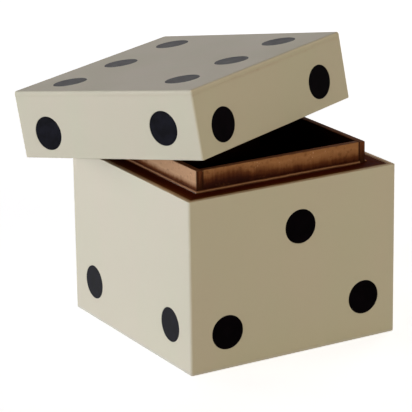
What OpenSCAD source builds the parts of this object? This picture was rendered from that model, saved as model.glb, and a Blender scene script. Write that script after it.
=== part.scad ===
// A box in the shape of a large die, with a lift-off lid that lies askew on the box's lip.
// Millimetres, +Z up. The origin is the middle of the base's underside, and -Y is the front.

/* [Outside] */
// Side of the square footprint, over the facing sheets
side = 120; // [110:1:150]
// Height of the base, from the table to its rim
base_h = 89; // [75:1:110]
// Height of the lid, from its lower edge to its top
lid_h = 35; // [32:1:50]

/* [Facing sheets] */
// Thickness of the ivory-coloured sheets on the sides
facing_t = 3; // [2:0.25:5]
// Thickness of the ivory-coloured sheet on top of the lid
top_t = 2.5; // [2:0.25:5]
// Thickness of the ivory-coloured sheet under the base
bottom_t = 1.5; // [1:0.25:3]
// Radius that eases the outer corners and edges
ease_r = 1.2; // [0.4:0.1:1.8]
// Radius that eases the edge that the base stands on
foot_ease_r = 0.6; // [0.2:0.1:0.9]

/* [Wood] */
// Thickness of the wall boards, which show as the dark rim
wall_t = 8; // [6:0.5:12]
// Thickness of the floor board
floor_t = 6; // [4:0.5:10]
// Thickness of the board under the lid's top sheet
lid_board_t = 8; // [5:0.5:10]
// Thickness of the liner boards, whose tops form the lip
liner_t = 3.5; // [2:0.25:6]
// Height of the lip above the rim
lip_h = 11; // [8:0.5:13]
// Radius of the bead along the foot of the lip
bead_r = 1.2; // [0.6:0.1:2]

/* [Felt] */
// Thickness of the felt pads
felt_t = 1; // [0.5:0.25:2]
// Gap between a felt pad and the boards around it
felt_gap = 0.3; // [0.1:0.1:1]

/* [Pips] */
// Diameter of the inlaid pips
pip_d = 17.5; // [12:0.5:19]
// Depth of a pip's pocket in a side or top sheet
pip_depth = 1.5; // [1:0.25:1.75]
// From a vertical edge to the middle of the nearest pips
pip_inset = 21.5; // [18:0.5:25]
// From the table to the middle of the low pips
low_pip_z = 20.5; // [18:0.5:26]
// From the rim down to the middle of the centre pips
mid_pip_drop = 23; // [18:0.5:30]
// From the top of the lid down to the middle of its side pips
high_pip_drop = 21; // [18:0.5:21]
// How far the pip under the base stays above the table
pip_recess = 0.2; // [0.1:0.05:0.5]
// Glue line around each pip
glue_gap = 0.05; // [0.02:0.01:0.1]

/* [Lid as it lies] */
// Gap between the lid's skirt and the lip, on each side
lid_fit = 0.5; // [0.3:0.1:1.5]
// Direction in plan of the line that the lid leans over
lean_turn = 37; // [32:1:44]
// Turn from the lid's own side to that line
lid_twist = 17; // [12:1:21]
// How far the skirt's inner face lies past the base's corner
corner_hook = 0.6; // [0.4:0.1:4]
// Height left free at the places where the lid rests
rest_gap = 0.15; // [0.05:0.05:0.3]

/* [Hidden] */

// Extra length of a cut past the surface that it opens
past = 1;
// Segments of a pip, of a bead and of an eased edge
round_fn = 64;
small_fn = 32;

// Colours of the materials
ivory = [0.82, 0.79, 0.69];
black = [0.03, 0.03, 0.035];
mahogany = [0.16, 0.05, 0.02];
copper = [0.55, 0.34, 0.22];
felt = [0.04, 0.035, 0.035];

// Turn in plan of each side, seen from above: front, right, back, left
front = 0;
right = 90;
back = 180;
left = 270;

half = side / 2;
core_half = half - facing_t;
lip_half = core_half - wall_t;
inner_half = lip_half - liner_t;
skirt_half = lip_half + lid_fit;
floor_z = bottom_t + floor_t;
lip_z = base_h + lip_h;
lid_side_h = lid_h - top_t;

// Places of the pips on a face: along it from the middle, and up from the table or the lid's lower edge
pip_x = half - pip_inset;
mid_pip_z = base_h - mid_pip_drop;
high_pip_z = lid_h - high_pip_drop;
// Each list ends with how far the pip was laid by hand off its place on the grid
front_low = [[-pip_x, low_pip_z] + [-0.5, -1.5], [0, mid_pip_z] + [3.5, 0], [pip_x, low_pip_z] + [2.5, 1.5]];
left_low = [[-pip_x, low_pip_z] + [-0.5, -0.5], [pip_x, low_pip_z] + [1.5, 0.5]];
right_low = [[-pip_x, low_pip_z], [0, mid_pip_z]];
back_low = [[-pip_x, low_pip_z]];
front_high = [[-pip_x, high_pip_z] + [-2.5, -1], [pip_x, high_pip_z] + [-1, 0]];
left_high = [[-pip_x, high_pip_z] + [-2, -1], [pip_x, high_pip_z] + [-0.5, 2]];
right_high = [[pip_x, high_pip_z]];
back_high = [[pip_x, high_pip_z]];
top_high = [
    [-pip_x, pip_x] + [-3, -1.5], [0, pip_x] + [-2, -1.5], [pip_x, pip_x] + [1, -1.5],
    [-pip_x, -pip_x] + [1, 3], [0, -pip_x] + [0, 2], [pip_x, -pip_x] + [1.5, 3]
];

// The lid rests on three points: where its skirt crosses the back lip and the left lip,
// and on the base's back left corner, which is eased
seat_span = 2 * skirt_half / cos(lid_twist);
corner_in = ease_r * (1 - cos(45));
back_seat = [seat_span * cos(lean_turn) - lip_half, lip_half];
corner_seat = [corner_in - half, half - corner_in];
lean_dir = [cos(lean_turn), sin(lean_turn)];
lean_side = [-lean_dir[1], lean_dir[0]];
corner_along = (corner_seat - back_seat) * lean_dir;
corner_off = (corner_seat - back_seat) * lean_side;
lid_tilt = atan2(lip_h, corner_off);
corner_slope = norm([corner_off, lip_h]);
seat_y = skirt_half + corner_hook - corner_along * sin(lid_twist) - corner_slope * cos(lid_twist);

// Puts the lid's pieces, drawn upright on their lower edge, where the lid lies
module as_laid() {
    translate([back_seat[0], back_seat[1], lip_z + rest_gap])
        rotate(a = -lid_tilt, v = [lean_dir[0], lean_dir[1], 0])
            rotate([0, 0, lean_turn - lid_twist])
                translate([-skirt_half, -seat_y, 0])
                    children();
}

// Square outline with corners eased by r
module eased_square(size, r) {
    square([size - 2 * r, size], center = true);
    square([size, size - 2 * r], center = true);
    for (x = [-1, 1], y = [-1, 1])
        translate([x, y] * (size / 2 - r)) circle(r, $fn = small_fn);
}

// One of four mitred boards round a square, from half-width inner to outer, standing from z0 to z1
module mitred_board(turn, inner, outer, z0, z1, r = 0) {
    rotate([0, 0, turn]) translate([0, 0, z0]) linear_extrude(z1 - z0) intersection() {
        polygon([[-outer, -outer], [outer, -outer], [inner, -inner], [-inner, -inner]]);
        if (r > 0) eased_square(2 * outer, r);
    }
}

// A disc let into the side that faces turn, at places [along, up], from the surface to depth
module side_disc(turn, place, d, depth, out = 0) {
    rotate([0, 0, turn]) translate([place[0], depth - half, place[1]])
        rotate([90, 0, 0]) cylinder(d = d, h = depth + out, $fn = round_fn);
}

// A side's ivory sheet with a pocket for each of its pips
module side_facing(turn, z0, z1, pips) {
    color(ivory) difference() {
        mitred_board(turn, core_half, half, z0, z1, ease_r);
        for (p = pips) side_disc(turn, p, pip_d + 2 * glue_gap, pip_depth, past);
    }
}

// A long cut that rounds one edge of a flat sheet, the edge that faces turn, at height z
module edge_cut(turn, z, r, up) {
    rotate([0, 0, turn]) translate([-half - past, -half, z]) rotate([90, 0, 90])
        linear_extrude(side + 2 * past) difference() {
            translate([-past, up > 0 ? -r : -past]) square([r + past, r + past]);
            translate([r, -up * r]) circle(r, $fn = small_fn);
        }
}

// A full-size ivory sheet, its edges at height z rounded by r
module flat_facing(z0, z1, z, r, up) {
    difference() {
        translate([0, 0, z0]) linear_extrude(z1 - z0) eased_square(side, ease_r);
        for (turn = [front, right, back, left]) edge_cut(turn, z, r, up);
    }
}

module square_pad(half_width, z0, t) {
    translate([-half_width, -half_width, z0]) cube([2 * half_width, 2 * half_width, t]);
}

// Base: boards
module base_floor_board() { color(mahogany) square_pad(lip_half, bottom_t, floor_t); }
module base_wall(turn) { color(mahogany) mitred_board(turn, lip_half, core_half, bottom_t, base_h); }
module floor_felt() { color(felt) square_pad(inner_half - felt_gap, floor_z, felt_t); }

// The side liners run the full depth, so their end grain shows; the front and back ones fit between
module long_liner(x) {
    color(copper) translate([x, -lip_half, floor_z]) cube([liner_t, 2 * lip_half, lip_z - floor_z]);
}
module short_liner(y) {
    color(copper) translate([-inner_half, y, floor_z]) cube([2 * inner_half, liner_t, lip_z - floor_z]);
}

// A quarter-round strip at the foot of the lip, from a to b along its side, mitred at each marked end
module bead(turn, a, b, mitre_a, mitre_b) {
    reach = lip_half + bead_r;
    color(copper) rotate([0, 0, turn]) intersection() {
        translate([a, -lip_half, base_h]) rotate([90, 0, 90]) linear_extrude(b - a) intersection() {
            circle(bead_r, $fn = small_fn);
            translate([-bead_r, 0]) square(bead_r);
        }
        translate([0, 0, base_h - past]) linear_extrude(bead_r + 2 * past) polygon([
            [mitre_a ? -reach : a, -reach], [mitre_b ? reach : b, -reach],
            [mitre_b ? lip_half : b, -lip_half], [mitre_a ? -lip_half : a, -lip_half]
        ]);
    }
}
module mitred_bead(turn) { bead(turn, -lip_half - bead_r, lip_half + bead_r, true, true); }

// Base: facing and pips
module base_side_facing(turn, pips) { side_facing(turn, bottom_t, base_h, pips); }
module base_bottom_facing() {
    color(ivory) difference() {
        flat_facing(0, bottom_t, 0, foot_ease_r, -1);
        translate([0, 0, -past])
            cylinder(d = pip_d + 2 * glue_gap, h = bottom_t + 2 * past, $fn = round_fn);
    }
}
module base_bottom_pip() {
    color(black) translate([0, 0, pip_recess])
        cylinder(d = pip_d, h = bottom_t - pip_recess, $fn = round_fn);
}
module side_pip(turn, place) { color(black) side_disc(turn, place, pip_d, pip_depth); }

// Lid: every piece is drawn upright and then laid askew
module lid_top_board() {
    color(mahogany) as_laid() square_pad(skirt_half, lid_side_h - lid_board_t, lid_board_t);
}
module lid_skirt(turn) {
    color(mahogany) as_laid() mitred_board(turn, skirt_half, core_half, 0, lid_side_h);
}
module lid_felt() {
    color(felt) as_laid() square_pad(skirt_half - felt_gap, lid_side_h - lid_board_t - felt_t, felt_t);
}
module lid_side_facing(turn, pips) { as_laid() side_facing(turn, 0, lid_side_h, pips); }
module lid_side_pip(turn, place) { as_laid() side_pip(turn, place); }
module lid_top_facing() {
    color(ivory) as_laid() difference() {
        flat_facing(lid_side_h, lid_h, lid_h, ease_r, 1);
        for (p = top_high) translate([p[0], p[1], lid_h - pip_depth])
            cylinder(d = pip_d + 2 * glue_gap, h = pip_depth + past, $fn = round_fn);
    }
}
module lid_top_pip(i) {
    color(black) as_laid() translate([top_high[i][0], top_high[i][1], lid_h - pip_depth])
        cylinder(d = pip_d, h = pip_depth, $fn = round_fn);
}

base_floor_board();
base_wall(front);  // base_front_wall
base_wall(right);  // base_right_wall
base_wall(back);  // base_back_wall
base_wall(left);  // base_left_wall
base_side_facing(front, front_low);  // base_front_facing
base_side_facing(right, right_low);  // base_right_facing
base_side_facing(back, back_low);  // base_back_facing
base_side_facing(left, left_low);  // base_left_facing
base_bottom_facing();
short_liner(-lip_half);  // front_liner
long_liner(inner_half);  // right_liner
short_liner(inner_half);  // back_liner
long_liner(-lip_half);  // left_liner
bead(front, -lip_half - bead_r, inner_half, true, false);  // front_bead
bead(right, -lip_half, lip_half + bead_r, false, true);  // right_bead
mitred_bead(back);  // back_bead
mitred_bead(left);  // left_bead
floor_felt();
side_pip(front, front_low[0]);  // base_front_pip_1
side_pip(front, front_low[1]);  // base_front_pip_2
side_pip(front, front_low[2]);  // base_front_pip_3
side_pip(left, left_low[0]);  // base_left_pip_1
side_pip(left, left_low[1]);  // base_left_pip_2
side_pip(right, right_low[0]);  // base_right_pip_1
side_pip(right, right_low[1]);  // base_right_pip_2
side_pip(back, back_low[0]);  // base_back_pip
base_bottom_pip();
lid_top_board();
lid_skirt(front);  // lid_front_skirt
lid_skirt(right);  // lid_right_skirt
lid_skirt(back);  // lid_back_skirt
lid_skirt(left);  // lid_left_skirt
lid_top_facing();
lid_side_facing(front, front_high);  // lid_front_facing
lid_side_facing(right, right_high);  // lid_right_facing
lid_side_facing(back, back_high);  // lid_back_facing
lid_side_facing(left, left_high);  // lid_left_facing
lid_felt();
lid_top_pip(0);  // lid_top_pip_1
lid_top_pip(1);  // lid_top_pip_2
lid_top_pip(2);  // lid_top_pip_3
lid_top_pip(3);  // lid_top_pip_4
lid_top_pip(4);  // lid_top_pip_5
lid_top_pip(5);  // lid_top_pip_6
lid_side_pip(front, front_high[0]);  // lid_front_pip_1
lid_side_pip(front, front_high[1]);  // lid_front_pip_2
lid_side_pip(left, left_high[0]);  // lid_left_pip_1
lid_side_pip(left, left_high[1]);  // lid_left_pip_2
lid_side_pip(right, right_high[0]);  // lid_right_pip
lid_side_pip(back, back_high[0]);  // lid_back_pip
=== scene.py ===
import math

import bmesh
import bpy
from mathutils import Matrix, Vector, noise

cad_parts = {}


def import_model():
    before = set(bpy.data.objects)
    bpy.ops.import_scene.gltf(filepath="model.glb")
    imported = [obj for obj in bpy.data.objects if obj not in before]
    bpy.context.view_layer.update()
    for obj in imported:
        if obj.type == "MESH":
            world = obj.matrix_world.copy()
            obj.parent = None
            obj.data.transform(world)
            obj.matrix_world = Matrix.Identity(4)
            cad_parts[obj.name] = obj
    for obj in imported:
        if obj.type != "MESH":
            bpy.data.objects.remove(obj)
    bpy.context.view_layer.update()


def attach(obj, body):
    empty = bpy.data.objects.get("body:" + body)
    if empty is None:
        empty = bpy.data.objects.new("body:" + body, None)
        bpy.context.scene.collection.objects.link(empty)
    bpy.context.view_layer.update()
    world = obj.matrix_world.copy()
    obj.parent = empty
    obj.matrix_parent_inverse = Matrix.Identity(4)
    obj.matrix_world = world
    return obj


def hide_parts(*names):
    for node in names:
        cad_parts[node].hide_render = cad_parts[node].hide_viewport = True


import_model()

MM = 0.001

# Sizes, the same as the solids have
HALF = 60.0
CORE_HALF = 57.0
LIP_HALF = 49.0
INNER_HALF = 45.5
SKIRT_HALF = 49.5
BOTTOM_T = 1.5
FLOOR_Z = 7.5
BASE_H = 89.0
LIP_Z = 100.0
LID_H = 35.0
LID_SIDE_H = 32.5
LID_BOARD_T = 8.0
EASE_R = 1.2
FOOT_EASE_R = 0.6
BEAD_R = 1.2
FELT_T = 1.0
FELT_GAP = 0.3
PIP_R = 8.75
PIP_DEPTH = 1.5
PIP_RECESS = 0.2
GLUE_GAP = 0.05
PIP_X = 38.5
LOW_Z = 20.5
MID_Z = 66.0
HIGH_Z = 14.0
LIP_H = LIP_Z - BASE_H

# How the lid lies, as the solids have it
LEAN_TURN = math.radians(37.0)
LID_TWIST = math.radians(17.0)
CORNER_HOOK = 0.6
REST_GAP = 0.15

# Small details that only the looks have: eased edges, the pips' faces, the felt, and where paint changes
PLAIN_EASE = 0.1
SEAM_EASE = 0.1
INNER_EASE = 0.15
RIM_EASE = 0.35
WALL_EASE = 0.25
MOUTH_EASE = 0.4
BOARD_EASE = 0.45
BOARD_END_EASE = 0.25
LEAST_R = 0.02
LEAST_CORNER_R = 0.03
PIP_EDGE = 0.12
PIP_DISH = 0.03
MOUTH_FLARE = 0.1
FELT_SOFT_W = 2.2
FELT_SOFT = 0.45
FELT_LUMP = 0.07
# BROW_DOWN: how far below the top the painted highlight on the top edge's round is centred
BROW_DOWN = 0.45
# The width of the strip of painted light on the rim beside the ivory sheet
PAINTED_LIGHT_W = 2.6

# How finely things are drawn
ROUND_STEPS = 6
ROUND_SEGMENTS = 96
WALL_CELLS = 40
TRIM_CELLS = 90
FELT_CELLS = 60
SAME_POINT = 1e-4
SMOOTH_BELOW = math.radians(42.0)

TURNS = {"front": 0.0, "right": 90.0, "back": 180.0, "left": 270.0}

# Places of the pips on each side, along it and up
PIPS_LOW = {
    "front": [(-PIP_X - 0.5, LOW_Z - 1.5), (3.5, MID_Z), (PIP_X + 2.5, LOW_Z + 1.5)],
    "left": [(-PIP_X - 0.5, LOW_Z - 0.5), (PIP_X + 1.5, LOW_Z + 0.5)],
    "right": [(-PIP_X, LOW_Z), (0.0, MID_Z)],
    "back": [(-PIP_X, LOW_Z)],
}
PIPS_HIGH = {
    "front": [(-PIP_X - 2.5, HIGH_Z - 1.0), (PIP_X - 1.0, HIGH_Z)],
    "left": [(-PIP_X - 2.0, HIGH_Z - 1.0), (PIP_X - 0.5, HIGH_Z + 2.0)],
    "right": [(PIP_X, HIGH_Z)],
    "back": [(PIP_X, HIGH_Z)],
}
PIPS_TOP = [
    (-PIP_X - 3.0, PIP_X - 1.5), (-2.0, PIP_X - 1.5), (PIP_X + 1.0, PIP_X - 1.5),
    (-PIP_X + 1.0, -PIP_X + 3.0), (0.0, -PIP_X + 2.0), (PIP_X + 1.5, -PIP_X + 3.0),
]


# ---------- where the lid lies

def lid_place():
    """The matrix that lays the lid, drawn upright on its lower edge, where the photograph has it."""
    span = 2 * SKIRT_HALF / math.cos(LID_TWIST)
    corner_in = EASE_R * (1 - math.cos(math.radians(45.0)))
    seat = Vector((span * math.cos(LEAN_TURN) - LIP_HALF, LIP_HALF))
    corner = Vector((corner_in - HALF, HALF - corner_in))
    lean = Vector((math.cos(LEAN_TURN), math.sin(LEAN_TURN)))
    across = Vector((-lean.y, lean.x))
    along, off = (corner - seat).dot(lean), (corner - seat).dot(across)
    tilt = math.atan2(LIP_H, off)
    seat_y = (
        SKIRT_HALF + CORNER_HOOK
        - along * math.sin(LID_TWIST) - math.hypot(off, LIP_H) * math.cos(LID_TWIST)
    )
    return (
        Matrix.Translation((seat.x * MM, seat.y * MM, (LIP_Z + REST_GAP) * MM))
        @ Matrix.Rotation(-tilt, 4, Vector((lean.x, lean.y, 0.0)))
        @ Matrix.Rotation(LEAN_TURN - LID_TWIST, 4, "Z")
        @ Matrix.Translation((-SKIRT_HALF * MM, -seat_y * MM, 0.0))
    )


PLACES = {"box": Matrix.Identity(4), "lid": lid_place()}


def turned(side):
    return Matrix.Rotation(math.radians(TURNS[side]), 4, "Z")


# ---------- meshes

def rounded(corners, steps=4):
    """Points of a closed outline whose corners, each (x, y, radius), are rounded."""
    points = []
    for i, (x, y, r) in enumerate(corners):
        here = Vector((x, y))
        to_last = (Vector(corners[i - 1][:2]) - here).normalized()
        to_next = (Vector(corners[(i + 1) % len(corners)][:2]) - here).normalized()
        half_angle = to_last.angle(to_next) / 2
        centre = here + (to_last + to_next).normalized() * (r / math.sin(half_angle))
        start = here + to_last * (r / math.tan(half_angle)) - centre
        end = here + to_next * (r / math.tan(half_angle)) - centre
        sweep = math.atan2(start.x * end.y - start.y * end.x, start.dot(end))
        for k in range(steps + 1):
            a = sweep * k / steps
            points.append(centre + Vector((
                start.x * math.cos(a) - start.y * math.sin(a),
                start.x * math.sin(a) + start.y * math.cos(a),
            )))
    return points


def section(w0, w1, z0, z1, outer_low, outer_high, inner_high=INNER_EASE, inner_low=PLAIN_EASE):
    """A board's cross-section between half-widths w0 and w1: a function of how far it is drawn in."""
    def at(inset):
        i = inset
        return rounded([
            (w0 + i, z0 + i, max(inner_low - i, LEAST_R)), (w1 - i, z0 + i, max(outer_low - i, LEAST_R)),
            (w1 - i, z1 - i, max(outer_high - i, LEAST_R)), (w0 + i, z1 - i, max(inner_high - i, LEAST_R)),
        ])
    return at


def side_run(profile, ends=(None, None), ease=0.0, outer=0.0, count=1, end_ease=0.0):
    """A board along one side of the square, of the section profile(inset) in (half-width, height).

    An end given as None is mitred, and one given as x is square there and eased by end_ease.
    ease rounds the square's corner at half-width outer, which the mitre cuts in half. The straight
    stretch is drawn in count cells.
    """
    def radius(w):
        return max(0.0, ease - (outer - w)) if ease else 0.0

    def corner(sign, turn):
        def at(w):
            r, a = radius(w), math.radians(45.0 + turn)
            return sign * (w - r + r * math.cos(a)), -(w - r + r * math.sin(a))
        return at

    def straight(f):
        def at(w):
            x0 = -(w - radius(w)) if ends[0] is None else ends[0] + end_ease
            x1 = w - radius(w) if ends[1] is None else ends[1] - end_ease
            return x0 + (x1 - x0) * f, -w
        return at

    def fixed(x):
        return lambda w: (x, -w)

    steps = 5
    left, right = [], []
    for k in range(steps):
        a = math.radians(90.0 * k / steps)
        dx, inset = end_ease * (1 - math.cos(a)), end_ease * (1 - math.sin(a))
        if ends[0] is not None:
            left.append((fixed(ends[0] + dx), inset))
        elif ease:
            left.append((corner(-1, 45.0 * k / steps), 0.0))
        if ends[1] is not None:
            right.append((fixed(ends[1] - dx), inset))
        elif ease:
            right.append((corner(1, 45.0 * k / steps), 0.0))
    rings = left + [(straight(k / count), 0.0) for k in range(count + 1)] + right[::-1]
    bm = bmesh.new()
    made = []
    for at, inset in rings:
        made.append([bm.verts.new((*at(p[0]), p[1])) for p in profile(inset)])
    return close_rings(bm, made)


def close_rings(bm, rings):
    """Joins the rings of points one to the next and closes both ends."""
    for a, b in zip(rings, rings[1:]):
        for i in range(len(a)):
            j = (i + 1) % len(a)
            bm.faces.new((a[i], a[j], b[j], b[i]))
    bm.faces.new(rings[0][::-1])
    bm.faces.new(rings[-1])
    bmesh.ops.remove_doubles(bm, verts=bm.verts, dist=SAME_POINT)
    bmesh.ops.dissolve_degenerate(bm, edges=bm.edges, dist=SAME_POINT)
    bmesh.ops.recalc_face_normals(bm, faces=bm.faces)
    return bm


def slab(levels):
    """A square sheet as a stack of rounded squares, each (half-width, corner radius, height)."""
    bm = bmesh.new()
    rings = []
    for h, r, z in levels:
        outline = rounded([(-h, -h, r), (h, -h, r), (h, h, r), (-h, h, r)], steps=8)
        rings.append([bm.verts.new((p.x, p.y, z)) for p in outline])
    return close_rings(bm, rings)


def board(half_width, low, high):
    """A square board from low to high with its edges broken."""
    e = PLAIN_EASE
    return slab([
        (half_width - e, e, low), (half_width, 2 * e, low + e),
        (half_width, 2 * e, high - e), (half_width - e, e, high),
    ])


def circle(radius, z):
    turns = [2 * math.pi * k / ROUND_SEGMENTS for k in range(ROUND_SEGMENTS)]
    return [Vector((radius * math.cos(a), radius * math.sin(a), z)) for a in turns]


def inlay(bottom):
    """A pip with its top at z = 0, its edge eased and its face slightly hollow."""
    bm = bmesh.new()
    levels = [(PIP_R, bottom), (PIP_R, -PIP_EDGE)]
    for k in range(1, 5):
        a = math.radians(90.0 * k / 4)
        levels.append((PIP_R - PIP_EDGE * (1 - math.cos(a)), -PIP_EDGE * (1 - math.sin(a))))
    levels += [(PIP_R * f, -PIP_DISH * (1 - f * f)) for f in (0.85, 0.6, 0.35, 0.12)]
    return close_rings(bm, [[bm.verts.new(p) for p in circle(r, z)] for r, z in levels])


def pocket(place, depth):
    """The cut for one pip, whose mouth is flared a little; place takes it to where the pip lies."""
    bm = bmesh.new()
    r, over = PIP_R + GLUE_GAP, 1.0
    levels = [(r, -depth), (r, -MOUTH_FLARE), (r + MOUTH_FLARE + over, over)]
    return close_rings(bm, [[bm.verts.new(place @ p) for p in circle(radius, z)] for radius, z in levels])


def as_object(bm, name):
    mesh = bpy.data.meshes.new(name)
    bm.to_mesh(mesh)
    bm.free()
    o = bpy.data.objects.new(name, mesh)
    bpy.context.scene.collection.objects.link(o)
    return o


def cut(bm, cutters):
    """bm with all the cutters taken out of it."""
    tool = bmesh.new()
    for c in cutters:
        part = bpy.data.meshes.new("cutter")
        c.to_mesh(part)
        c.free()
        tool.from_mesh(part)
        bpy.data.meshes.remove(part)
    target, tool = as_object(bm, "cut_target"), as_object(tool, "cut_tool")
    m = target.modifiers.new("cut", "BOOLEAN")
    m.operation, m.solver, m.object = "DIFFERENCE", "EXACT", tool
    bpy.context.view_layer.update()
    graph = bpy.context.evaluated_depsgraph_get()
    result = bpy.data.meshes.new_from_object(target.evaluated_get(graph))
    out = bmesh.new()
    out.from_mesh(result)
    for o in (target, tool):
        mesh = o.data
        bpy.data.objects.remove(o)
        bpy.data.meshes.remove(mesh)
    bpy.data.meshes.remove(result)
    bmesh.ops.remove_doubles(out, verts=out.verts, dist=SAME_POINT)
    bmesh.ops.recalc_face_normals(out, faces=out.faces)
    return out


def wear(bm, seed, edge, face, size):
    """Rubs a board: its edges by up to edge and its faces by up to face, in spots about size long."""
    bm.normal_update()
    shift = Vector((seed * 31.7, seed * 17.3, seed * 7.9))
    full_corner = 0.29  # how far the largest part of a normal halfway between two axes falls short of 1
    moves = []
    for v in bm.verts:
        n = v.normal
        corner = min(1.0, (1.0 - max(abs(n.x), abs(n.y), abs(n.z))) / full_corner)
        spot = noise.noise((v.co + shift) / size) * 0.5 + 0.5
        fine = noise.noise((v.co - shift) / (size * 0.3)) * 0.5 + 0.5
        depth = edge * corner * (0.7 * spot * spot + 0.3 * fine) + face * (1.0 - corner) * spot
        moves.append(n * -depth)
    for v, m in zip(bm.verts, moves):
        v.co += m


def felt_pad(half_width, top, bottom):
    """A felt pad: a thin mat with a soft edge and a faintly uneven face, from bottom to top."""
    bm = bmesh.new()
    grid = []
    t = top - bottom
    places = [(-1 + 2 * i / FELT_CELLS) * half_width for i in range(FELT_CELLS + 1)]
    for y in places:
        row = []
        for x in places:
            inside = min(half_width - abs(x), half_width - abs(y))
            soft = FELT_SOFT * max(0.0, 1 - inside / FELT_SOFT_W) ** 2
            lump = FELT_LUMP * (noise.noise(Vector((x, y, 3.0)) / 9.0) * 0.5 + 0.5)
            row.append(bm.verts.new((x, y, top - t * (soft + lump))))
        grid.append(row)
    for near, far in zip(grid, grid[1:]):
        for i in range(FELT_CELLS):
            bm.faces.new((near[i], near[i + 1], far[i + 1], far[i]))
    border = (
        grid[0] + [r[-1] for r in grid[1:]] + grid[-1][-2::-1] + [r[0] for r in grid[-2:0:-1]]
    )
    low = [bm.verts.new((v.co.x, v.co.y, bottom)) for v in border]
    for i in range(len(border)):
        j = (i + 1) % len(border)
        bm.faces.new((border[j], border[i], low[i], low[j]))
    bm.faces.new(low[::-1])
    bmesh.ops.recalc_face_normals(bm, faces=bm.faces)
    return bm


# ---------- node materials

class Shader:
    """The nodes of a material or world, its owner. The methods make a node or two and return an output."""

    def __init__(self, owner):
        self.owner = owner
        owner.use_nodes = True
        self.tree = owner.node_tree
        self.tree.nodes.clear()

    def node(self, kind, inputs=(), **settings):
        n = self.tree.nodes.new(kind)
        for key, value in settings.items():
            setattr(n, key, value)
        for key, value in dict(inputs).items():
            if isinstance(value, bpy.types.NodeSocket):
                self.tree.links.new(value, n.inputs[key])
            else:
                n.inputs[key].default_value = value
        return n

    def place(self, name):
        """own: the piece's own frame in metres; grain: the same, shifted so that no two pieces match."""
        return self.node("ShaderNodeAttribute", attribute_name=name).outputs["Vector"]

    def axis(self, vector, index):
        return self.node("ShaderNodeSeparateXYZ", {0: vector}).outputs[index]

    def stretch(self, vector, x, y, z):
        inputs = {0: vector, 1: (x, y, z)}
        return self.node("ShaderNodeVectorMath", inputs, operation="MULTIPLY").outputs[0]

    def noise(self, vector, scale, detail=2.0, roughness=0.5, distortion=0.0):
        return self.node("ShaderNodeTexNoise", {
            "Vector": vector, "Scale": scale, "Detail": detail, "Roughness": roughness,
            "Distortion": distortion,
        }).outputs[0]

    def math(self, operation, a, b=0.0):
        return self.node("ShaderNodeMath", {0: a, 1: b}, operation=operation).outputs[0]

    def plus(self, a, b):
        return self.math("ADD", a, b)

    def minus(self, a, b):
        return self.math("SUBTRACT", a, b)

    def times(self, a, b):
        return self.math("MULTIPLY", a, b)

    def remap(self, value, low, high, to_low=0.0, to_high=1.0):
        inputs = {0: value, 1: low, 2: high, 3: to_low, 4: to_high}
        return self.node("ShaderNodeMapRange", inputs).outputs[0]

    def mix(self, factor, a, b):
        return self.node("ShaderNodeMix", {0: factor, 6: a, 7: b}, data_type="RGBA").outputs[2]

    def ramp(self, value, stops):
        n = self.node("ShaderNodeValToRGB", {0: value})
        for _ in stops[2:]:
            n.color_ramp.elements.new(0.5)
        for e, (at, colour) in zip(n.color_ramp.elements, stops):
            e.position, e.color = at, (*colour, 1.0)
        return n.outputs[0]

    def bump(self, height, distance, strength):
        inputs = {"Strength": strength, "Distance": distance, "Height": height}
        return self.node("ShaderNodeBump", inputs).outputs[0]

    def surface(self, colour, roughness, normal, **constants):
        inputs = {"Base Color": colour, "Roughness": roughness, "Normal": normal}
        inputs.update({k.replace("_", " "): v for k, v in constants.items()})
        s = self.node("ShaderNodeBsdfPrincipled", inputs)
        self.node("ShaderNodeOutputMaterial", {0: s.outputs[0]})
        return self.owner

    def seen(self):
        """1 for the rays that show the background, which are the camera's, reflected and refracted ones."""
        ray = self.node("ShaderNodeLightPath").outputs
        through = self.math("MAXIMUM", ray["Is Glossy Ray"], ray["Is Transmission Ray"])
        return self.math("MAXIMUM", ray["Is Camera Ray"], through)


def new_material(name):
    return Shader(bpy.data.materials.new(name))


def rgb(r, g, b):
    return (r, g, b, 1.0)


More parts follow.
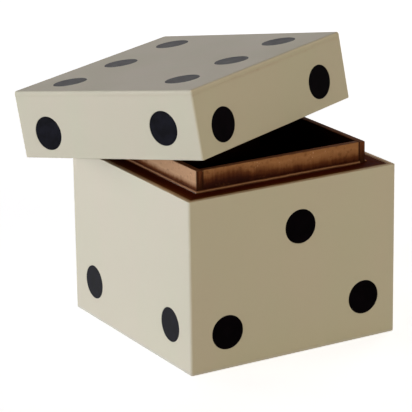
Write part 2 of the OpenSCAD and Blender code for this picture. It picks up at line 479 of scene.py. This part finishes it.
def ivory_material(name, tint, seam_z, stain=0.3, mark=(0.6, 0.52, 0.42), spread=0.5, brow=0.0):
    """Satin ivory-coloured resin: faint clouds, upright bands and specks, and a stain in places at seam_z.

    mark is the stain's share of the tint, spread how far in mm it reaches from the seam, and brow how
    much paler the round of the top edge is painted, a painted highlight.
    """
    s = new_material(name)
    own, grain = s.place("own"), s.place("grain")
    cloud = s.noise(grain, 24.0, 2.0)
    band = s.noise(s.stretch(grain, 75.0, 75.0, 9.0), 1.0, 2.0)
    tone = s.plus(s.times(cloud, 0.6), s.times(band, 0.4))
    r, g, b = tint
    rosy, greenish = rgb(r * 1.008, g * 0.99, b * 0.992), rgb(r * 0.988, g * 1.004, b * 0.985)
    colour = s.mix(s.remap(tone, 0.38, 0.62), rosy, greenish)
    speck = s.noise(grain, 1500.0, 2.0, 0.6)
    colour = s.mix(s.remap(speck, 0.62, 0.8, 0.0, 0.16), colour, rgb(r * 0.8, g * 0.72, b * 0.6))
    away = s.math("ABSOLUTE", s.minus(s.axis(own, 2), seam_z * MM))
    near = s.remap(away, 0.0, spread * MM, 1.0, 0.0)
    fleck = s.remap(s.noise(s.stretch(grain, 260.0, 260.0, 900.0), 1.0, 3.0, 0.7), 0.5, 0.66)
    spill = s.remap(s.noise(s.stretch(grain, 26.0, 26.0, 26.0), 1.0, 2.0), 0.42, 0.6, 0.25, 1.0)
    line = s.times(near, s.times(spill, s.plus(s.times(fleck, 0.6), 0.3)))
    stained = rgb(r * mark[0], g * mark[1], b * mark[2])
    colour = s.mix(s.times(line, stain), colour, stained)
    # Painted highlight: the round of the lid's top edge is painted paler by brow.
    if brow:
        edge = s.math("ABSOLUTE", s.minus(s.axis(own, 2), (LID_H - BROW_DOWN) * MM))
        paler = rgb(r * 1.42, g * 1.36, b * 1.34)
        colour = s.mix(s.remap(edge, 0.1 * MM, 0.8 * MM, brow, 0.0), colour, paler)
    scratch = s.noise(s.stretch(grain, 500.0, 500.0, 40.0), 1.0, 3.0, 0.6)
    roughness = s.remap(s.plus(cloud, s.times(scratch, 0.5)), 0.4, 1.1, 0.4, 0.52)
    height = s.plus(s.noise(grain, 60.0, 2.0), s.times(scratch, 0.06))
    normal = s.bump(height, 0.00035, 0.5)
    return s.surface(colour, roughness, normal, IOR=1.27)


def rim_material():
    """The sawn top edge of the ivory sheet, browned by the stain of the wood beside it."""
    s = new_material("ivory_sawn_edge")
    own, grain = s.place("own"), s.place("grain")
    stain = s.noise(s.stretch(grain, 90.0, 500.0, 500.0), 1.0, 3.0, 0.6)
    out = s.remap(s.axis(own, 1), -CORE_HALF * MM, -HALF * MM)
    colour = s.ramp(s.plus(out, s.times(s.minus(stain, 0.5), 0.9)), [
        (0.05, (0.22, 0.09, 0.03)), (0.3, (0.45, 0.27, 0.13)),
        (0.6, (0.64, 0.47, 0.28)), (0.9, (0.71, 0.58, 0.4)),
    ])
    saw = s.noise(s.stretch(grain, 1800.0, 120.0, 120.0), 1.0, 2.0)
    return s.surface(colour, s.remap(stain, 0.3, 0.7, 0.42, 0.6), s.bump(saw, 0.00006, 0.5), IOR=1.15)


def pip_material(name, low, high, ior):
    """Gloss black resin with faint polishing marks."""
    s = new_material(name)
    grain = s.place("grain")
    cloud = s.noise(grain, 220.0, 3.0)
    marks = s.noise(s.stretch(grain, 2600.0, 300.0, 300.0), 1.0, 2.0)
    colour = s.mix(s.remap(cloud, 0.35, 0.7), rgb(*low), rgb(*high))
    roughness = s.remap(s.plus(cloud, s.times(marks, 0.3)), 0.4, 0.9, 0.33, 0.41)
    return s.surface(colour, roughness, s.bump(cloud, 0.00004, 0.4), IOR=ior)


def dark_wood_material(name, low, high, gloss):
    """Stained wood with its grain along the board, low to high in colour, with painted light beside the
    ivory sheet.
    """
    s = new_material(name)
    own, grain = s.place("own"), s.place("grain")
    waver = s.noise(grain, 30.0, 2.0)
    fibre = s.noise(s.stretch(grain, 24.0, 900.0, 900.0), 1.0, 4.0, 0.65, 0.4)
    ring = s.noise(s.stretch(grain, 10.0, 190.0, 190.0), 1.0, 3.0, 0.55, 0.6)
    tone = s.plus(s.times(fibre, 0.5), s.times(ring, 0.5))
    colour = s.mix(s.remap(tone, 0.36, 0.66), rgb(*low), rgb(*high))
    paler = rgb(high[0] * 1.4, high[1] * 1.3, high[2] * 1.2)
    colour = s.mix(s.remap(waver, 0.55, 0.75, 0.0, 0.35), colour, paler)
    pore = s.remap(s.noise(s.stretch(grain, 160.0, 2600.0, 2600.0), 1.0, 2.0), 0.3, 0.42, 1.0, 0.0)
    colour = s.mix(s.times(pore, 0.6), colour, rgb(*(c * 0.4 for c in low)))
    # Painted light: the rim is painted paler in a strip beside the ivory sheet, leaving it darker towards
    # the lip's foot, where shade falls.
    beside = s.remap(s.axis(own, 1), -CORE_HALF * MM, (-CORE_HALF + PAINTED_LIGHT_W) * MM, 0.8, 0.0)
    painted_light_strip = s.times(beside, s.remap(tone, 0.3, 0.6, 0.35, 1.0))
    colour = s.mix(painted_light_strip, colour, rgb(0.13, 0.045, 0.012))
    roughness = s.remap(tone, 0.35, 0.65, gloss, gloss + 0.14)
    height = s.minus(tone, s.times(pore, 0.8))
    return s.surface(colour, roughness, s.bump(height, 0.00012, 0.6), IOR=1.05)


def copper_material(name, reach, glow, steep=1.0):
    """A liner board's outer face: a copper-brown stain, dark at the ends at reach and dark at the foot,
    where a heavier stain and painted shade of the crease above the bead meet.

    Further up it comes to its burnished colour, glow, the sooner the higher steep is, and later on
    the left half, where a painted shadow of the lid falls.
    """
    s = new_material(name)
    own, grain = s.place("own"), s.place("grain")
    up = s.remap(s.axis(own, 2), BASE_H * MM, LIP_Z * MM)
    streak = s.noise(s.stretch(grain, 620.0, 620.0, 60.0), 1.0, 4.0, 0.65)
    patch = s.noise(s.stretch(grain, 110.0, 110.0, 160.0), 1.0, 3.0, 0.6)
    rough_edge = s.minus(s.plus(s.times(streak, 0.26), s.times(patch, 0.3)), 0.28)
    along = s.axis(own, 0)
    # Painted shadow of the lid: the left half of each board is darker, most near its left end.
    to_middle = s.remap(along, -47.0 * MM, 0.0, 0.46, 0.0)
    to_left_end = s.remap(along, -45.0 * MM, -30.0 * MM, 0.17, 0.3)
    painted_lid_shadow = s.math("MINIMUM", to_middle, to_left_end)
    rise = s.plus(s.times(up, steep), rough_edge)
    height = s.math("MINIMUM", s.minus(rise, painted_lid_shadow), 0.86)
    r, g, b = glow
    # Dark at the foot: a heavier stain there, with painted shade of the crease above the bead.
    colour = s.ramp(height, [
        (0.0, (0.022, 0.003, 0.0006)), (0.18, (0.042, 0.007, 0.0014)), (0.36, (0.12, 0.034, 0.01)),
        (0.54, (r * 0.72, g * 0.65, b * 0.6)), (0.75, (r, g, b)), (0.93, (r * 0.9, g * 0.85, b * 0.8)),
    ])
    joint = s.remap(s.math("ABSOLUTE", along), (reach - 0.9) * MM, (reach - 0.2) * MM, 0.0, 0.85)
    colour = s.mix(joint, colour, rgb(0.03, 0.006, 0.001))
    blotch = s.remap(s.noise(grain, 420.0, 3.0, 0.6), 0.56, 0.7)
    colour = s.mix(s.times(blotch, 0.45), colour, rgb(0.1, 0.034, 0.012))
    fleck = s.remap(s.noise(s.stretch(grain, 1300.0, 1300.0, 700.0), 1.0, 2.0, 0.5), 0.66, 0.74)
    colour = s.mix(s.times(fleck, s.remap(height, 0.4, 0.8)), colour, rgb(0.72, 0.43, 0.25))
    roughness = s.remap(s.plus(streak, patch), 0.7, 1.3, 0.3, 0.5)
    bump = s.bump(s.plus(streak, s.times(blotch, -0.5)), 0.00014, 0.6)
    return s.surface(colour, roughness, bump, IOR=1.15)


def end_grain_material():
    """The sawn ends of the long liner boards: dark, with upright growth lines."""
    s = new_material("copper_wood_end_grain")
    own, grain = s.place("own"), s.place("grain")
    up = s.remap(s.axis(own, 2), BASE_H * MM, LIP_Z * MM)
    lines = s.noise(s.stretch(grain, 60.0, 1500.0, 70.0), 1.0, 3.0, 0.6)
    dots = s.noise(grain, 2200.0, 2.0)
    tone = s.plus(s.times(lines, 0.75), s.times(dots, 0.25))
    colour = s.ramp(tone, [
        (0.34, (0.03, 0.007, 0.0015)), (0.5, (0.13, 0.038, 0.014)), (0.68, (0.27, 0.1, 0.042)),
    ])
    colour = s.mix(s.remap(up, 0.15, 0.85, 0.85, 0.0), colour, rgb(0.016, 0.0035, 0.001))
    return s.surface(colour, s.remap(tone, 0.4, 0.6, 0.5, 0.62), s.bump(tone, 0.00012, 0.6), IOR=1.12)


def bead_material():
    """The thin strip at the foot of the lip, its crest pale, partly rubbed wood and partly a painted
    highlight.
    """
    s = new_material("copper_wood_bead")
    own, grain = s.place("own"), s.place("grain")
    up = s.remap(s.axis(own, 2), BASE_H * MM, (BASE_H + BEAD_R) * MM)
    wear_and_highlight = s.noise(s.stretch(grain, 140.0, 500.0, 500.0), 1.0, 3.0, 0.6)
    level = s.plus(up, s.times(s.minus(wear_and_highlight, 0.5), 0.5))
    # Painted highlight, partly rubbed wood: a pale band along the crest, darker towards the rim and towards
    # the lip.
    colour = s.ramp(level, [
        (0.05, (0.035, 0.008, 0.002)), (0.42, (0.1, 0.034, 0.012)),
        (0.68, (0.44, 0.23, 0.12)), (0.95, (0.15, 0.056, 0.022)),
    ])
    roughness = s.remap(wear_and_highlight, 0.35, 0.65, 0.32, 0.48)
    return s.surface(colour, roughness, s.bump(wear_and_highlight, 0.0001, 0.5), IOR=1.15)


def felt_material():
    """Short-fibred dark felt."""
    s = new_material("dark_felt")
    grain = s.place("grain")
    warp = s.noise(grain, 700.0, 2.0, 0.5, 3.0)
    fibre = s.noise(s.stretch(grain, 2600.0, 900.0, 2600.0), 1.0, 3.0, 0.7, 2.5)
    nap = s.noise(grain, 60.0, 3.0)
    tone = s.plus(s.times(fibre, 0.6), s.times(warp, 0.4))
    colour = s.mix(s.remap(tone, 0.38, 0.66), rgb(0.0075, 0.006, 0.006), rgb(0.026, 0.021, 0.02))
    colour = s.mix(s.remap(nap, 0.45, 0.7, 0.0, 0.4), colour, rgb(0.034, 0.028, 0.026))
    return s.surface(
        colour, s.remap(tone, 0.3, 0.7, 0.85, 1.0), s.bump(tone, 0.0004, 0.9),
        Sheen_Weight=0.12, Sheen_Roughness=0.5, IOR=1.4,
    )


IVORY = (0.655, 0.612, 0.492)
IVORY_COOL = (0.668, 0.64, 0.555)
# Painted shade: a deeper, darker copy of the ivory tint for the lid's crown, which the sides of the same
# sheet do not get
IVORY_TOP_PAINTED_SHADE = (0.63, 0.565, 0.45)
IVORY_BASE = ivory_material("ivory_sheet_base", IVORY, BOTTOM_T, stain=0.5)
IVORY_FOOT = ivory_material("ivory_sheet_foot", IVORY_COOL, BOTTOM_T, stain=0.4)
IVORY_LID = ivory_material("ivory_sheet_lid", IVORY, LID_SIDE_H, stain=0.15)
# Painted shade: the crown of the lid's top sheet is tinted darker than its sides.
IVORY_TOP = ivory_material("ivory_sheet_top", IVORY_TOP_PAINTED_SHADE, LID_SIDE_H)
# Painted highlight on the round of the top sheet's front edge
IVORY_BROW = ivory_material(
    "ivory_sheet_top_edge_painted_highlight", IVORY, LID_SIDE_H, stain=0.8, mark=(0.82, 0.7, 0.66), spread=1.2, brow=0.6,
)
IVORY_STAINED = ivory_material(
    "ivory_sheet_lid_stained", IVORY, LID_SIDE_H, stain=1.0, mark=(0.82, 0.68, 0.64), spread=1.5,
)
RIM = rim_material()
BLACK = pip_material("black_inlay_gloss", (0.0024, 0.0024, 0.0046), (0.0062, 0.0062, 0.0115), 1.12)
BLACK_TOP = pip_material("black_inlay_gloss_top", (0.0024, 0.001, 0.0026), (0.006, 0.0026, 0.0062), 1.1)
# Painted shade: a darker, less reflective copy of the black inlay for the front pips
BLACK_PAINTED_SHADE = pip_material("black_inlay_painted_shade", (0.0012, 0.0006, 0.001), (0.0026, 0.0013, 0.0024), 1.05)
MAHOGANY = dark_wood_material("dark_wood_mahogany", (0.034, 0.0033, 0.0005), (0.078, 0.0105, 0.0016), 0.62)
LIP_TOP = dark_wood_material("copper_wood_lip_top", (0.075, 0.022, 0.009), (0.22, 0.085, 0.038), 0.38)
LIP_INSIDE = dark_wood_material("copper_wood_inside", (0.008, 0.0014, 0.0004), (0.024, 0.005, 0.0016), 0.4)
COPPER = copper_material("copper_wood_burnished", INNER_HALF, (0.43, 0.2, 0.086))
# Painted light: a paler copy of the copper, coming to its colour sooner, for the boards that run through,
# so that the left one looks lit by the key light
COPPER_PAINTED_LIT = copper_material("copper_wood_burnished_painted_lit", LIP_HALF, (0.55, 0.33, 0.19), steep=1.6)
END_GRAIN = end_grain_material()
BEAD = bead_material()
FELT = felt_material()


# ---------- pieces

made_count = 0


def piece(node, bm, place, body, paint):
    """Makes the piece that stands for a CAD node.

    paint lists (material, test of a face), and a face gets the first material whose test it passes.
    """
    global made_count
    made_count += 1
    name = node + "_finished"
    bm.normal_update()
    materials = [m for m, _ in paint]
    for f in bm.faces:
        f.smooth = True
        f.material_index = next(i for i, (_, fits) in enumerate(paint) if fits is None or fits(f))
    for e in bm.edges:
        e.smooth = len(e.link_faces) == 2 and e.calc_face_angle(0.0) < SMOOTH_BELOW
    o = as_object(bm, name)
    mesh = o.data
    shift = Vector((0.043, 0.029, 0.017)) * made_count
    for key, add in (("own", Vector((0.0, 0.0, 0.0))), ("grain", shift)):
        a = mesh.attributes.new(key, "FLOAT_VECTOR", "POINT")
        a.data.foreach_set("vector", [x for v in mesh.vertices for x in v.co * MM + add])
    mesh.transform(PLACES[body] @ place @ Matrix.Scale(MM, 4))
    for m in materials:
        mesh.materials.append(m)
    even = o.modifiers.new("even_shading", "WEIGHTED_NORMAL")
    even.keep_sharp = True
    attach(o, body)
    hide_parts(node)
    return o


def pip_place(side, at):
    """From a pip's own frame, its face up at z = 0, to its place on a side, in mm in that side's frame."""
    return Matrix.Translation((at[0], -HALF, at[1])) @ Matrix.Rotation(math.radians(90.0), 4, "X")


def in_metres(matrix):
    m = matrix.copy()
    m.translation = m.translation * MM
    return m


def is_rim(f):
    return f.normal.z > 0.7 and f.calc_center_median().z > BASE_H - 0.5


def is_crown(f):
    return f.normal.z > 0.95


def is_front_brow(f):
    return f.normal.y < -0.1 and abs(f.normal.x) < 0.9


for side in TURNS:
    turn = turned(side)
    # Ivory sheets and their pips
    # Painted shade: the front pips take the darker copy of the black inlay.
    black = BLACK_PAINTED_SHADE if side == "front" else BLACK
    lid_ivory = IVORY_STAINED if side == "front" else IVORY_LID
    base_profile = section(CORE_HALF, HALF, BOTTOM_T, BASE_H, SEAM_EASE, RIM_EASE)
    lid_profile = section(CORE_HALF, HALF, 0.0, LID_SIDE_H, RIM_EASE, SEAM_EASE)
    for prefix, body, profile, places, paint in (
        ("base", "box", base_profile, PIPS_LOW[side], [(RIM, is_rim), (IVORY_BASE, None)]),
        ("lid", "lid", lid_profile, PIPS_HIGH[side], [(lid_ivory, None)]),
    ):
        bm = side_run(profile, ease=EASE_R, outer=HALF)
        bm = cut(bm, [pocket(pip_place(side, p), PIP_DEPTH) for p in places])
        piece(f"{prefix}_{side}_facing", bm, turn, body, paint)
        for i, p in enumerate(places):
            node = f"{prefix}_{side}_pip" + (f"_{i + 1}" if len(places) > 1 else "")
            place = turn @ in_metres(pip_place(side, p))
            piece(node, inlay(-PIP_DEPTH), place, body, [(black, None)])

    # Wall and skirt boards
    profile = section(LIP_HALF, CORE_HALF, BOTTOM_T, BASE_H, PLAIN_EASE, WALL_EASE)
    bm = side_run(profile, count=WALL_CELLS)
    wear(bm, TURNS[side] + 1, edge=0.1, face=0.02, size=14.0)
    piece(f"base_{side}_wall", bm, turn, "box", [(MAHOGANY, None)])
    profile = section(SKIRT_HALF, CORE_HALF, 0.0, LID_SIDE_H, WALL_EASE, PLAIN_EASE, inner_low=MOUTH_EASE)
    bm = side_run(profile, count=WALL_CELLS)
    wear(bm, TURNS[side] + 2, edge=0.1, face=0.02, size=14.0)
    piece(f"lid_{side}_skirt", bm, turn, "lid", [(MAHOGANY, None)])

    # Liner boards: the side ones run through, and the front and back ones fit between them
    runs_through = side in ("left", "right")
    reach = LIP_HALF if runs_through else INNER_HALF
    profile = section(INNER_HALF, LIP_HALF, FLOOR_Z, LIP_Z, PLAIN_EASE, BOARD_EASE, inner_high=BOARD_EASE)
    bm = side_run(profile, ends=(-reach, reach), count=TRIM_CELLS, end_ease=BOARD_END_EASE)
    wear(bm, TURNS[side] + 3, edge=0.22, face=0.03, size=5.0)
    piece(f"{side}_liner", bm, turn, "box", [
        (END_GRAIN, lambda f: abs(f.normal.x) > 0.7),
        # The boards that run through take the paler copy with painted light.
        (COPPER_PAINTED_LIT if runs_through else COPPER, lambda f: f.normal.y < -0.6),
        (LIP_TOP, lambda f: f.normal.z > 0.5),
        (LIP_INSIDE, None),
    ])

    # Beads: quarter-rounds along the lip's foot, mitred but at the front right corner, where they stop
    # and leave the right board's end bare
    quarter = [(LIP_HALF, BASE_H)] + [
        (LIP_HALF + BEAD_R * math.cos(math.radians(a)), BASE_H + BEAD_R * math.sin(math.radians(a)))
        for a in range(0, 91, 10)
    ]
    ends = {"front": (None, INNER_HALF), "right": (-LIP_HALF, None)}.get(side, (None, None))
    bm = side_run(lambda inset: [Vector(p) for p in quarter], ends=ends, count=TRIM_CELLS)
    wear(bm, TURNS[side] + 4, edge=0.06, face=0.04, size=4.0)
    piece(f"{side}_bead", bm, turn, "box", [(BEAD, None)])

# Sheet under the base, with its pip
upright = Matrix.Identity(4)
round_off = [math.radians(90.0 * k / ROUND_STEPS) for k in range(ROUND_STEPS + 1)]
levels = []
for a in round_off:
    drawn_in = FOOT_EASE_R * (1 - math.sin(a))
    levels.append((HALF - drawn_in, EASE_R - drawn_in, FOOT_EASE_R * (1 - math.cos(a))))
levels += [(HALF, EASE_R, BOTTOM_T - SEAM_EASE), (HALF - SEAM_EASE, EASE_R - SEAM_EASE, BOTTOM_T)]
down = Matrix.Rotation(math.pi, 4, "X")
bm = cut(slab(levels), [pocket(down, BOTTOM_T + 1.0)])  # right through the sheet
piece("base_bottom_facing", bm, upright, "box", [(IVORY_FOOT, None)])
place = in_metres(Matrix.Translation((0.0, 0.0, PIP_RECESS)) @ down)
piece("base_bottom_pip", inlay(PIP_RECESS - BOTTOM_T), place, "box", [(BLACK, None)])

# Sheet on top of the lid, with its pips
levels = [(HALF - SEAM_EASE, EASE_R - SEAM_EASE, LID_SIDE_H), (HALF, EASE_R, LID_SIDE_H + SEAM_EASE)]
for a in round_off:
    corner_r = max(EASE_R * math.cos(a), LEAST_CORNER_R)
    levels.append((HALF - EASE_R * (1 - math.cos(a)), corner_r, LID_H - EASE_R * (1 - math.sin(a))))
up = [Matrix.Translation((x, y, LID_H)) for x, y in PIPS_TOP]
bm = cut(slab(levels), [pocket(m, PIP_DEPTH) for m in up])
# The top sheet's front takes the copy with the painted highlight on its edge's round.
paint = [(IVORY_TOP, is_crown), (IVORY_BROW, is_front_brow), (IVORY_LID, None)]
piece("lid_top_facing", bm, upright, "lid", paint)
paint = [(BLACK_TOP, None)]
for i, m in enumerate(up):
    piece(f"lid_top_pip_{i + 1}", inlay(-PIP_DEPTH), in_metres(m), "lid", paint)

# Boards and felt pads inside
board_low = LID_SIDE_H - LID_BOARD_T
bm = board(LIP_HALF, BOTTOM_T, FLOOR_Z)
piece("base_floor_board", bm, upright, "box", [(MAHOGANY, None)])
bm = board(SKIRT_HALF, board_low, LID_SIDE_H)
piece("lid_top_board", bm, upright, "lid", [(MAHOGANY, None)])

pad = INNER_HALF - FELT_GAP
bm = felt_pad(pad, FLOOR_Z + FELT_T, FLOOR_Z)
mat = piece("floor_felt", bm, upright, "box", [(FELT, None)])
pad = SKIRT_HALF - FELT_GAP
bm = felt_pad(pad, board_low - FELT_T, board_low)
lining = piece("lid_felt", bm, upright, "lid", [(FELT, None)])


# ---------- floor, light and camera

# Sizes and places in metres, and the levels of what glows
FLOOR_SIZE = 12.0
FLOOR_DOWN = 0.0001
GLOW_FROM, GLOW_TO = 0.3, 1.8
FLOOR_GLOW = 0.76
WORLD_LIGHT = 0.06
SIDE_LAMP = (0.9, 0.5)
TOP_LAMP = (1.2, 1.2)
MIDDLE = (0.0, 0.0, 0.07)


def floor():
    """A pale floor that goes over into white away from the box."""
    bm = bmesh.new()
    bmesh.ops.create_grid(bm, x_segments=8, y_segments=8, size=FLOOR_SIZE)
    o = as_object(bm, "studio_floor")
    o.location.z = -FLOOR_DOWN
    s = new_material("studio_floor_pale")
    spot = s.node("ShaderNodeNewGeometry").outputs["Position"]
    away = s.node("ShaderNodeVectorMath", {0: spot}, operation="LENGTH").outputs["Value"]
    level = s.times(s.seen(), s.remap(away, GLOW_FROM, GLOW_TO, FLOOR_GLOW, 1.0))
    plain = s.node("ShaderNodeBsdfDiffuse", {"Color": rgb(0.74, 0.74, 0.76)})
    glow = s.node("ShaderNodeEmission", {"Color": rgb(1.0, 1.0, 1.0), "Strength": level})
    both = s.node("ShaderNodeAddShader", {0: plain.outputs[0], 1: glow.outputs[0]})
    s.node("ShaderNodeOutputMaterial", {0: both.outputs[0]})
    o.data.materials.append(s.owner)


def world(level):
    """White where the camera or a reflection sees it, and of this level as a light."""
    s = Shader(bpy.data.worlds.new("studio"))
    bpy.context.scene.world = s.owner
    strength = s.remap(s.seen(), 0.0, 1.0, level, 1.0)
    back = s.node("ShaderNodeBackground", {"Color": rgb(1.0, 1.0, 1.0), "Strength": strength})
    s.node("ShaderNodeOutputWorld", {0: back.outputs[0]})


def lamp(name, at, size, watts, colour):
    """A soft lamp at a place in metres, turned to the middle of the box."""
    data = bpy.data.lights.new(name, "AREA")
    data.shape, data.size, data.size_y = "RECTANGLE", size[0], size[1]
    data.energy, data.color = watts, colour
    o = bpy.data.objects.new(name, data)
    bpy.context.scene.collection.objects.link(o)
    o.location = at
    o.rotation_euler = (Vector(MIDDLE) - Vector(at)).to_track_quat("-Z", "Y").to_euler()


def camera(azimuth, elevation, roll, at, lens):
    """The photograph's camera, at a place in millimetres, as fitted to the box's corners in it."""
    a, e, r = math.radians(azimuth), math.radians(elevation), math.radians(roll)
    back = Vector((math.sin(a) * math.cos(e), -math.cos(a) * math.cos(e), math.sin(e)))
    right = Vector((math.cos(a), math.sin(a), 0.0))
    above = back.cross(right)
    x = right * math.cos(r) + above * math.sin(r)
    y = above * math.cos(r) - right * math.sin(r)
    data = bpy.data.cameras.new("photo_view")
    data.sensor_fit, data.sensor_width, data.lens = "HORIZONTAL", 36.0, lens
    data.clip_start, data.clip_end = 0.05, 60.0
    o = bpy.data.objects.new("photo_view", data)
    bpy.context.scene.collection.objects.link(o)
    m = Matrix((x, y, back)).transposed().to_4x4()
    m.translation = Vector(at) * MM
    o.matrix_world = m
    bpy.context.scene.camera = o


floor()
world(WORLD_LIGHT)
lamp("key", (-1.9, 0.12, 0.22), SIDE_LAMP, watts=23.3, colour=(0.96, 1.0, 1.065))
lamp("fill", (0.25, -1.85, 0.45), SIDE_LAMP, watts=12.7, colour=(1.0, 0.864, 0.605))
lamp("right_side", (1.8, 0.9, 0.3), SIDE_LAMP, watts=22.0, colour=(1.0, 0.97, 0.93))
lamp("rear", (-0.9, 1.7, 0.22), SIDE_LAMP, watts=12.0, colour=(1.0, 0.96, 0.94))
lamp("overhead", (-0.3, 0.3, 2.2), TOP_LAMP, watts=2.6, colour=(1.0, 0.96, 0.98))
camera(azimuth=-30.40, elevation=17.45, roll=-0.79, at=(-608.2, -1010.8, 432.3), lens=210.73)

bpy.context.scene.view_settings.view_transform = "Standard"
